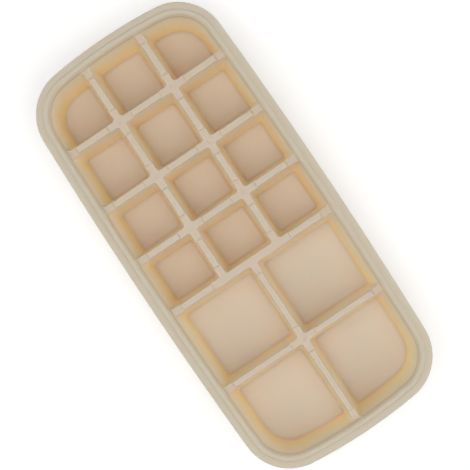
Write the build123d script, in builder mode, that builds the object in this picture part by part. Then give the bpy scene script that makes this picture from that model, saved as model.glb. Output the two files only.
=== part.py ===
from build123d import *
import os
from math import radians, tan

os.makedirs("parts", exist_ok=True)

# Silicone ice cube tray, one moulding, in millimetres. X runs along the tray with the small cells at -X,
# Y runs across it, and Z is up. The tray stands on Z = 0, on the floors of its cups.

# Outline of the rim, seen from above: four shallow bows joined by round corners.
tray_length = 250.0
tray_width = 116.0
end_bow_radius = 285.0
side_bow_radius = 2650.0
corner_radius = 27.2

# Rim, from the outer edge inwards: a rounded lip, then a slightly taller bead that a lid would press on.
# The lip runs a little way under the bead's outer round.
lip_width = 3.4
lip_thickness = 3.2
lip_under_bead = 0.4
bead_width = 3.5
bead_rise = 0.5
lip_round = 1.4
bead_outer_round = 1.3
bead_inner_round = 1.9
underside_round = 0.8

# Cells. A draft is measured from the vertical, so a cell narrows downwards.
cell_depth = 30.0
floor_thickness = 2.0
cup_wall = 1.8
divider_draft = 4.8
outer_wall_draft = 8.5
cell_round = 1.9

# Dividers. Their bars lie below the bead, and drop to a saddle near each crossing and near the rim.
# Below the web each cup hangs by itself, so that its floor can be pushed up.
small_divider_width = 3.6
large_divider_width = 3.3
divider_below_bead = 3.5
web_depth = 8.0
saddle_depth = 1.0
saddle_reach_at_crossing = 7.5
saddle_reach_at_rim = 6.7
saddle_slope = 30.0
shortest_bar = 4.0
bar_round = 0.8

# A shallow round dimple marks each crossing of two dividers.
dimple_radius = 1.6
dimple_depth = 0.4

# Spacing of the dividers' centre lines. The small columns are counted from the inside of the rim at -X,
# and the large cells share what is left. The rows of small cells are centred on the tray.
small_columns = [34.6, 35.1, 32.6, 32.6]
small_row = 33.6
large_divider_offset = -1.2

# The skin below the rim reaches this far up into it. A round takes at most this share of its room.
overlap = 1.0
round_share = 0.9

# Heights worked out from the sizes above
divider_top = floor_thickness + cell_depth
rim_top = divider_top + divider_below_bead
lip_top = rim_top - bead_rise
flange_bottom = lip_top - lip_thickness
web_bottom = divider_top - web_depth
saddle_top = divider_top - saddle_depth

# Divider positions worked out from the sizes above
rim_width = lip_width + bead_width
end_x = tray_length / 2
side_y = tray_width / 2
inner_x = end_x - rim_width
inner_y = side_y - rim_width
small_walls_x = [sum(small_columns[: i + 1]) - inner_x for i in range(len(small_columns))]
middle_x = small_walls_x[-1]
large_x = (middle_x + inner_x) / 2 + large_divider_offset
row_y = small_row / 2


def limited_round(radius, *rooms):
    # a radius that still fits in the room that the round has
    return min(radius, *(round_share * room for room in rooms))


def top_loop(ring, inner):
    # the outer or the inner edges of a ring's top face
    face = ring.faces().sort_by(Axis.Z)[-1]
    outer = face.outer_wire().edges()
    return [edge for edge in face.edges() if (edge in outer) != inner]


def outline(height, inset):
    # the rim's outline at a height, moved in by an inset
    end_centre = end_x - end_bow_radius
    side_centre = side_y - side_bow_radius
    with BuildSketch(Plane.XY.offset(height)) as shape:
        with Locations((end_centre, 0)):
            Circle(end_bow_radius - inset)
        with Locations((-end_centre, 0)):
            Circle(end_bow_radius - inset, mode=Mode.INTERSECT)
        with Locations((0, side_centre)):
            Circle(side_bow_radius - inset, mode=Mode.INTERSECT)
        with Locations((0, -side_centre)):
            Circle(side_bow_radius - inset, mode=Mode.INTERSECT)
        fillet(shape.vertices(), corner_radius - inset)
    return shape.sketch


def inside_of_rim(low, high, wall):
    # the space inside the drafted outer wall between two heights, grown by a wall thickness
    with BuildPart() as space:
        for height in (low, high):
            add(outline(height, rim_width - wall + (rim_top - height) * tan(radians(outer_wall_draft))))
        loft(ruled=True)
    return space.part


def cell_plan(height, west, east, south, north, wall):
    # the plan of a cell at a height: each side is a divider's centre line and half width
    lean = (divider_top - height) * tan(radians(divider_draft)) - wall
    low_x = west[0] + west[1] + lean
    high_x = east[0] - east[1] - lean
    low_y = south[0] + south[1] + lean
    high_y = north[0] - north[1] - lean
    with BuildSketch(Plane.XY.offset(height)) as plan:
        with Locations(((low_x + high_x) / 2, (low_y + high_y) / 2)):
            Rectangle(high_x - low_x, high_y - low_y)
    return plan.sketch


def cell_block(low, high, sides, wall):
    # one cell's hollow, or with a wall thickness the outside of its cup, with round corners and floor
    with BuildPart() as block:
        for height in (low, high):
            add(cell_plan(height, *sides, wall))
        loft(ruled=True)
        add(inside_of_rim(low, high, wall), mode=Mode.INTERSECT)
        top = block.faces().sort_by(Axis.Z)[-1]
        flat = block.faces().filter_by(Face.is_planar).sort_by(Axis.Z)[:-1]
        corners = [edge for edge in flat.edges() if edge not in top.edges()]
        fillet(set(corners), cell_round + wall)
    return block.part


def cell_sides():
    # the four sides of each cell: small cells first, then the large ones
    small_half = small_divider_width / 2
    large_half = large_divider_width / 2
    small_x = [(-end_x, 0)] + [(x, small_half) for x in small_walls_x]
    small_y = [(-side_y, 0), (-row_y, small_half), (row_y, small_half), (side_y, 0)]
    large_x_lines = [(middle_x, small_half), (large_x, large_half), (end_x, 0)]
    large_y = [(-side_y, 0), (0, large_half), (side_y, 0)]
    sides = []
    for lines_x, lines_y in ((small_x, small_y), (large_x_lines, large_y)):
        for west, east in zip(lines_x, lines_x[1:]):
            for south, north in zip(lines_y, lines_y[1:]):
                sides.append((west, east, south, north))
    return sides


def bar_plans():
    # the raised bars of the dividers, as (centre x, centre y, length, width, angle from the X axis)
    def at_rim(position):
        return position, saddle_reach_at_rim

    def at_crossing(position):
        return position, saddle_reach_at_crossing

    def spans(stops):
        for (start, start_reach), (end, end_reach) in zip(stops, stops[1:]):
            low = start + start_reach
            high = end - end_reach
            if high - low > shortest_bar:
                yield (low + high) / 2, high - low

    across = [at_rim(-inner_y), at_crossing(-row_y), at_crossing(row_y), at_rim(inner_y)]
    across_middle = across[:2] + [at_crossing(0)] + across[2:]
    across_large = [at_rim(-inner_y), at_crossing(0), at_rim(inner_y)]
    stops_y = [(x, small_divider_width, across) for x in small_walls_x[:-1]]
    stops_y += [(middle_x, small_divider_width, across_middle), (large_x, large_divider_width, across_large)]
    along = [at_rim(-inner_x)] + [at_crossing(x) for x in small_walls_x]
    along_large = [at_crossing(middle_x), at_crossing(large_x), at_rim(inner_x)]
    stops_x = [(y, small_divider_width, along) for y in (-row_y, row_y)]
    stops_x += [(0, large_divider_width, along_large)]
    plans = [(x, at, length, width, 90) for x, width, stops in stops_y for at, length in spans(stops)]
    return plans + [(at, y, length, width, 0) for y, width, stops in stops_x for at, length in spans(stops)]


def bar_block(x, y, length, width, angle):
    # a raised bar on a divider: its sides carry the walls of the cells on, and its ends slope
    side_lean = saddle_depth * tan(radians(divider_draft))
    end_lean = saddle_depth * tan(radians(saddle_slope))
    with BuildPart() as block:
        for height, wider, longer in ((saddle_top, side_lean, end_lean), (divider_top, 0, 0)):
            with BuildSketch(Plane.XY.offset(height)):
                with Locations((x, y)):
                    Rectangle(length - 2 * end_lean + 2 * longer, width + 2 * wider, rotation=angle)
        loft(ruled=True)
        fillet(block.edges().group_by(Axis.Z)[-1], limited_round(bar_round, width / 2, saddle_depth))
    return block.part


# Hollows of the cells, up to the saddles, and the cups that hang round them
hollows = [cell_block(floor_thickness, saddle_top, sides, 0) for sides in cell_sides()]
cups = [cell_block(0, web_bottom, sides, cup_wall) for sides in cell_sides()]

# Outer lip of the rim, a ring with a round top
with BuildPart() as lip:
    add(outline(flange_bottom, 0))
    extrude(amount=lip_thickness)
    add(outline(flange_bottom, lip_width + lip_under_bead))
    extrude(amount=lip_thickness, mode=Mode.SUBTRACT)
    fillet(top_loop(lip, inner=False), limited_round(lip_round, lip_width, lip_thickness / 2))
    fillet(lip.faces().sort_by(Axis.Z)[0].outer_wire().edges(), underside_round)

# The tray
with BuildPart() as tray:
    add(outline(flange_bottom, lip_width))
    extrude(amount=rim_top - flange_bottom)
    add(inside_of_rim(web_bottom, flange_bottom + overlap, cup_wall))
    add(inside_of_rim(saddle_top, rim_top, 0), mode=Mode.SUBTRACT)
    fillet(top_loop(tray, inner=False), limited_round(bead_outer_round, bead_width / 2))
    fillet(top_loop(tray, inner=True), limited_round(bead_inner_round, bead_width - bead_outer_round))
    add(lip.part)
    add(cups)
    add(hollows, mode=Mode.SUBTRACT)
    add([bar_block(*plan) for plan in bar_plans()])
    dimple_ball = (dimple_radius**2 + dimple_depth**2) / (2 * dimple_depth)
    crossings = [(x, y) for x in small_walls_x[:-1] for y in (-row_y, row_y)] + [(large_x, 0)]
    with Locations([(x, y, saddle_top + dimple_ball - dimple_depth) for x, y in crossings]):
        Sphere(dimple_ball, mode=Mode.SUBTRACT)

tray.part.label = "tray"
export_step(tray.part, "parts/tray.step")
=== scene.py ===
import math
import bmesh
import bpy
from mathutils import Euler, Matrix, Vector
from mathutils.bvhtree import BVHTree


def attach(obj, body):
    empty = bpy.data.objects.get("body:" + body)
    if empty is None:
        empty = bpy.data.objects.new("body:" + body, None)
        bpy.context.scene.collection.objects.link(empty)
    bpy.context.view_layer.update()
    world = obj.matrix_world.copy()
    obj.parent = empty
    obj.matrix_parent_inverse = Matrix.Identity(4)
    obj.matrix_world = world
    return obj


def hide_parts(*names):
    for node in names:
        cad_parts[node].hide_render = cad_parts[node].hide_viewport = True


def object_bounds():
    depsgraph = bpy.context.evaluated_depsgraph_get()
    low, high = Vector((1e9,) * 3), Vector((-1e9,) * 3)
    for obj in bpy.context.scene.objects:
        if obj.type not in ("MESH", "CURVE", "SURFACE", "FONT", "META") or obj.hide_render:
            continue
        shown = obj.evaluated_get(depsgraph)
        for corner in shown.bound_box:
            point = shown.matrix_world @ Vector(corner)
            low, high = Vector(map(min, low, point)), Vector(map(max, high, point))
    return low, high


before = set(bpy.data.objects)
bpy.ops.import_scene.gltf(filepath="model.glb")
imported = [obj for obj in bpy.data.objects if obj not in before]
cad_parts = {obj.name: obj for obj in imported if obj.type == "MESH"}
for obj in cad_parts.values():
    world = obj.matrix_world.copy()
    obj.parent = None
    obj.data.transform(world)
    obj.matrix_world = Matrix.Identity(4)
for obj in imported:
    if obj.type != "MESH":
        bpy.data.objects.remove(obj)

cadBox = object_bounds()
trayHeight = cadBox[1][2]
scene = bpy.context.scene
up = Vector((0, 0, 1))


def newObject(name, data):
    made = bpy.data.objects.new(name, data)
    scene.collection.objects.link(made)
    return made


def newMaterial(name):
    made = bpy.data.materials.new(name)
    made.use_nodes = True
    return made, made.node_tree.nodes, made.node_tree.links


def newMath(nodes, links, operation, first, second):
    # first is a socket, and second is a socket or a plain number
    node = nodes.new("ShaderNodeMath")
    node.operation = operation
    links.new(first, node.inputs[0])
    if isinstance(second, float):
        node.inputs[1].default_value = second
    else:
        links.new(second, node.inputs[1])
    return node.outputs[0]


# Silicone

siliconeLook = {
    "outside": (0.65, 0.565, 0.445),     # colours in linear light
    "paintedLightAndShade": (                           # painted light and shade, inside and on top: share of the tray's height, colour
        (0.06, (0.71, 0.64, 0.545)),     # the cells' floors, painted paler and pinker as painted bounced light
        (0.14, (0.95, 0.755, 0.445)),    # the cells' walls, painted deeper in colour lower down as painted bounced light and shade
        (0.62, (0.86, 0.78, 0.605)),
        (0.84, (0.83, 0.755, 0.595)),
        (0.87, (0.66, 0.56, 0.44)),      # the dividers' tops
        (0.905, (0.66, 0.56, 0.44)),
        (0.925, (0.85, 0.775, 0.62)),    # the wall between the dividers' tops and the bead, painted paler as painted light
        (0.955, (0.75, 0.68, 0.535)),
        (0.98, (0.65, 0.58, 0.455)),     # the lip and the bead
        (1.00, (0.635, 0.565, 0.44)),
    ),
    "cloudSize": 22.0,                   # patches per metre
    "cloudDetail": 3,
    "cloudShade": 0.965,                 # the darkest patch against the palest
    "roughness": 0.5,
    "scatterShare": 1,                   # all of its colour is light that went inside first
    "scatterDepth": 0.003,               # metres that light travels inside
    "scatter": (0.5, 0.8, 1.0),          # share of that depth for red, green and blue
}
insideMark = "openToSky"                 # the tray's mesh says with this where its inside and its top are, the faces that take the painted light and shade


def makeSilicone(look, height, inside):
    made, nodes, links = newMaterial("silicone")
    shader = nodes["Principled BSDF"]
    place = nodes.new("ShaderNodeTexCoord")
    apart = nodes.new("ShaderNodeSeparateXYZ")
    links.new(place.outputs["Object"], apart.inputs["Vector"])
    share = newMath(nodes, links, "DIVIDE", apart.outputs["Z"], height)
    # a ramp of painted light and shade by height, read from the tray's own Z
    paintedLightAndShade = nodes.new("ShaderNodeValToRGB")
    while len(paintedLightAndShade.color_ramp.elements) < len(look["paintedLightAndShade"]):
        paintedLightAndShade.color_ramp.elements.new(1.0)
    for stop, (position, colour) in zip(paintedLightAndShade.color_ramp.elements, look["paintedLightAndShade"]):
        stop.position = position
        stop.color = (*colour, 1)
    links.new(share, paintedLightAndShade.inputs["Fac"])

    # only the faces open to the sky get the painted light and shade; the others get the outside colour
    mark = nodes.new("ShaderNodeAttribute")
    mark.attribute_name = inside
    side = nodes.new("ShaderNodeMix")
    side.data_type = "RGBA"
    side.inputs["A"].default_value = (*look["outside"], 1)
    links.new(mark.outputs["Fac"], side.inputs["Factor"])
    links.new(paintedLightAndShade.outputs["Color"], side.inputs["B"])

    cloud = nodes.new("ShaderNodeTexNoise")
    cloud.inputs["Scale"].default_value = look["cloudSize"]
    cloud.inputs["Detail"].default_value = look["cloudDetail"]
    links.new(place.outputs["Object"], cloud.inputs["Vector"])
    patch = nodes.new("ShaderNodeMix")
    patch.data_type = "RGBA"
    patch.blend_type = "MULTIPLY"
    shade = look["cloudShade"]
    patch.inputs["B"].default_value = (1, shade, shade ** 2, 1)   # the darker a patch, the warmer
    links.new(cloud.outputs["Fac"], patch.inputs["Factor"])
    links.new(side.outputs["Result"], patch.inputs["A"])
    links.new(patch.outputs["Result"], shader.inputs["Base Color"])

    shader.inputs["Roughness"].default_value = look["roughness"]
    shader.inputs["Subsurface Weight"].default_value = look["scatterShare"]
    shader.inputs["Subsurface Radius"].default_value = look["scatter"]
    shader.inputs["Subsurface Scale"].default_value = look["scatterDepth"]
    return made


silicone = makeSilicone(siliconeLook, trayHeight, insideMark)
print("silicone mixed")


# Tray

trayShape = {
    "weld": 1e-6,            # metres, points nearer than this are one point
    "flat": 0.4,             # degrees, faces that turn less than this are one flat face
    "hardEdge": 34,          # degrees from which an edge is rounded
    "soften": 0.0007,        # metres, how far in the rounding starts
    "softenSteps": 3,
    "softenProfile": 0.5,    # a true round
    "clear": 0.0005,         # metres off its face, where a look up and down starts
    "lean": 100,             # how much large faces lead the shading
}


def markInside(mesh, name, clear):
    # the cells and the rim's top are the faces with nothing above them and the tray below them
    mark = mesh.faces.layers.float.new(name)
    tree = BVHTree.FromBMesh(mesh)
    for face in mesh.faces:
        start = face.calc_center_median() + face.normal * clear
        above = tree.ray_cast(start, up)[0]
        below = tree.ray_cast(start, -up)[0]
        face[mark] = float(above is None and below is not None)


def makeTray(shape, inside, material):
    mesh = bmesh.new()
    mesh.from_mesh(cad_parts["tray"].data)
    bmesh.ops.remove_doubles(mesh, verts=mesh.verts, dist=shape["weld"])
    bmesh.ops.dissolve_degenerate(mesh, dist=shape["weld"], edges=mesh.edges)
    flat = math.radians(shape["flat"])
    bmesh.ops.dissolve_limit(mesh, angle_limit=flat, verts=mesh.verts, edges=mesh.edges)
    hard = [edge for edge in mesh.edges if edge.calc_face_angle(0) > math.radians(shape["hardEdge"])]
    bmesh.ops.bevel(
        mesh, geom=hard, offset=shape["soften"], offset_type="OFFSET", affect="EDGES",
        segments=shape["softenSteps"], profile=shape["softenProfile"], clamp_overlap=True, material=-1,
    )
    markInside(mesh, inside, shape["clear"])
    for face in mesh.faces:
        face.smooth = True
    data = bpy.data.meshes.new("iceTray")
    mesh.to_mesh(data)
    mesh.free()
    data.materials.clear()
    data.materials.append(material)
    made = newObject("iceTray", data)
    lean = made.modifiers.new("flat faces lead", "WEIGHTED_NORMAL")
    lean.keep_sharp = False
    lean.weight = shape["lean"]
    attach(made, "root")
    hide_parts("tray")
    return made


tray = makeTray(trayShape, insideMark, silicone)
print("tray has", len(tray.data.polygons), "faces")


# Floor, backdrop and light

roomLook = {
    "floorSize": 6.0,                   # metres
    "floorColour": (0.92, 0.92, 0.92),
    "floorRoughness": 0.9,
    "floorShine": 0.1,
    "floorGlow": 0.3,                   # what brings the lit floor up to white in the picture
    "backdrop": 1.0,                    # how bright the sky is in the picture, where 1 is white
    "fill": 0.27,                       # and how bright it is for the tray
    "softboxSize": 0.9,                 # metres across
    "softboxDistance": 1.2,             # metres from the tray
    "softboxes": (                      # degrees round the tray, degrees above it, watts
        (0, 90, 3.4),
        (0, 58, 2.9),
        (270, 58, 1.9),
        (225, 28, 2.0),
        (80, 28, 3.0),
    ),
    "bounces": 12,                      # light goes to and fro between the pale walls of a cell
}
white = (1, 1, 1, 1)


def shownInPicture(nodes, links):
    # 1 for rays from the camera, mirrored rays and rays let through, and 0 for the rest, such as fill light
    path = nodes.new("ShaderNodeLightPath")
    shown = path.outputs["Is Camera Ray"]
    for ray in ("Is Glossy Ray", "Is Transmission Ray"):
        shown = newMath(nodes, links, "MAXIMUM", shown, path.outputs[ray])
    return shown


def makeFloor(look):
    mesh = bmesh.new()
    bmesh.ops.create_grid(mesh, x_segments=1, y_segments=1, size=look["floorSize"] / 2)
    data = bpy.data.meshes.new("floor")
    mesh.to_mesh(data)
    mesh.free()
    made, nodes, links = newMaterial("floor")
    shader = nodes["Principled BSDF"]
    shader.inputs["Base Color"].default_value = (*look["floorColour"], 1)
    shader.inputs["Roughness"].default_value = look["floorRoughness"]
    shader.inputs["Specular IOR Level"].default_value = look["floorShine"]
    shader.inputs["Emission Color"].default_value = white
    glow = newMath(nodes, links, "MULTIPLY", shownInPicture(nodes, links), look["floorGlow"])
    links.new(glow, shader.inputs["Emission Strength"])
    data.materials.append(made)
    newObject("floor", data)


def makeWorld(look):
    world = bpy.data.worlds.new("studio")
    world.use_nodes = True
    nodes = world.node_tree.nodes
    links = world.node_tree.links
    sky = nodes["Background"]
    sky.inputs["Color"].default_value = white
    level = nodes.new("ShaderNodeMapRange")
    level.inputs["To Min"].default_value = look["fill"]
    level.inputs["To Max"].default_value = look["backdrop"]
    links.new(shownInPicture(nodes, links), level.inputs["Value"])
    links.new(level.outputs["Result"], sky.inputs["Strength"])
    scene.world = world


def makeSoftbox(look, turn, above, power):
    data = bpy.data.lights.new("softbox", "AREA")
    data.shape = "DISK"
    data.size = look["softboxSize"]
    data.energy = power
    lamp = newObject("softbox", data)
    aim = Euler((0, -math.radians(above), math.radians(turn)), "XYZ").to_matrix() @ Vector((1, 0, 0))
    lamp.location = aim * look["softboxDistance"]
    lamp.rotation_euler = (-aim).to_track_quat("-Z", "Y").to_euler()


makeFloor(roomLook)
makeWorld(roomLook)
for softbox in roomLook["softboxes"]:
    makeSoftbox(roomLook, *softbox)
scene.cycles.diffuse_bounces = roomLook["bounces"]
print("floor, backdrop and softboxes placed")


# Camera, nearly straight above the tray

cameraView = {
    "imageWidth": 470,                   # pixels
    "focalLength": 1800,                 # pixels
    "place": (0.0241, 0.0243, 0.9837),   # metres
    "turn": (-1.43, 1.42, 56.2),         # degrees about X, Y and Z
    "clip": (0.05, 20),                  # metres, nearest and farthest that it sees
}


def makeCamera(view):
    data = bpy.data.cameras.new("camera")
    data.lens = data.sensor_width * view["focalLength"] / view["imageWidth"]
    data.clip_start, data.clip_end = view["clip"]
    camera = newObject("camera", data)
    camera.location = view["place"]
    camera.rotation_mode = "ZYX"
    camera.rotation_euler = [math.radians(angle) for angle in view["turn"]]
    scene.camera = camera


makeCamera(cameraView)
scene.view_settings.view_transform = "Standard"
print("camera placed")
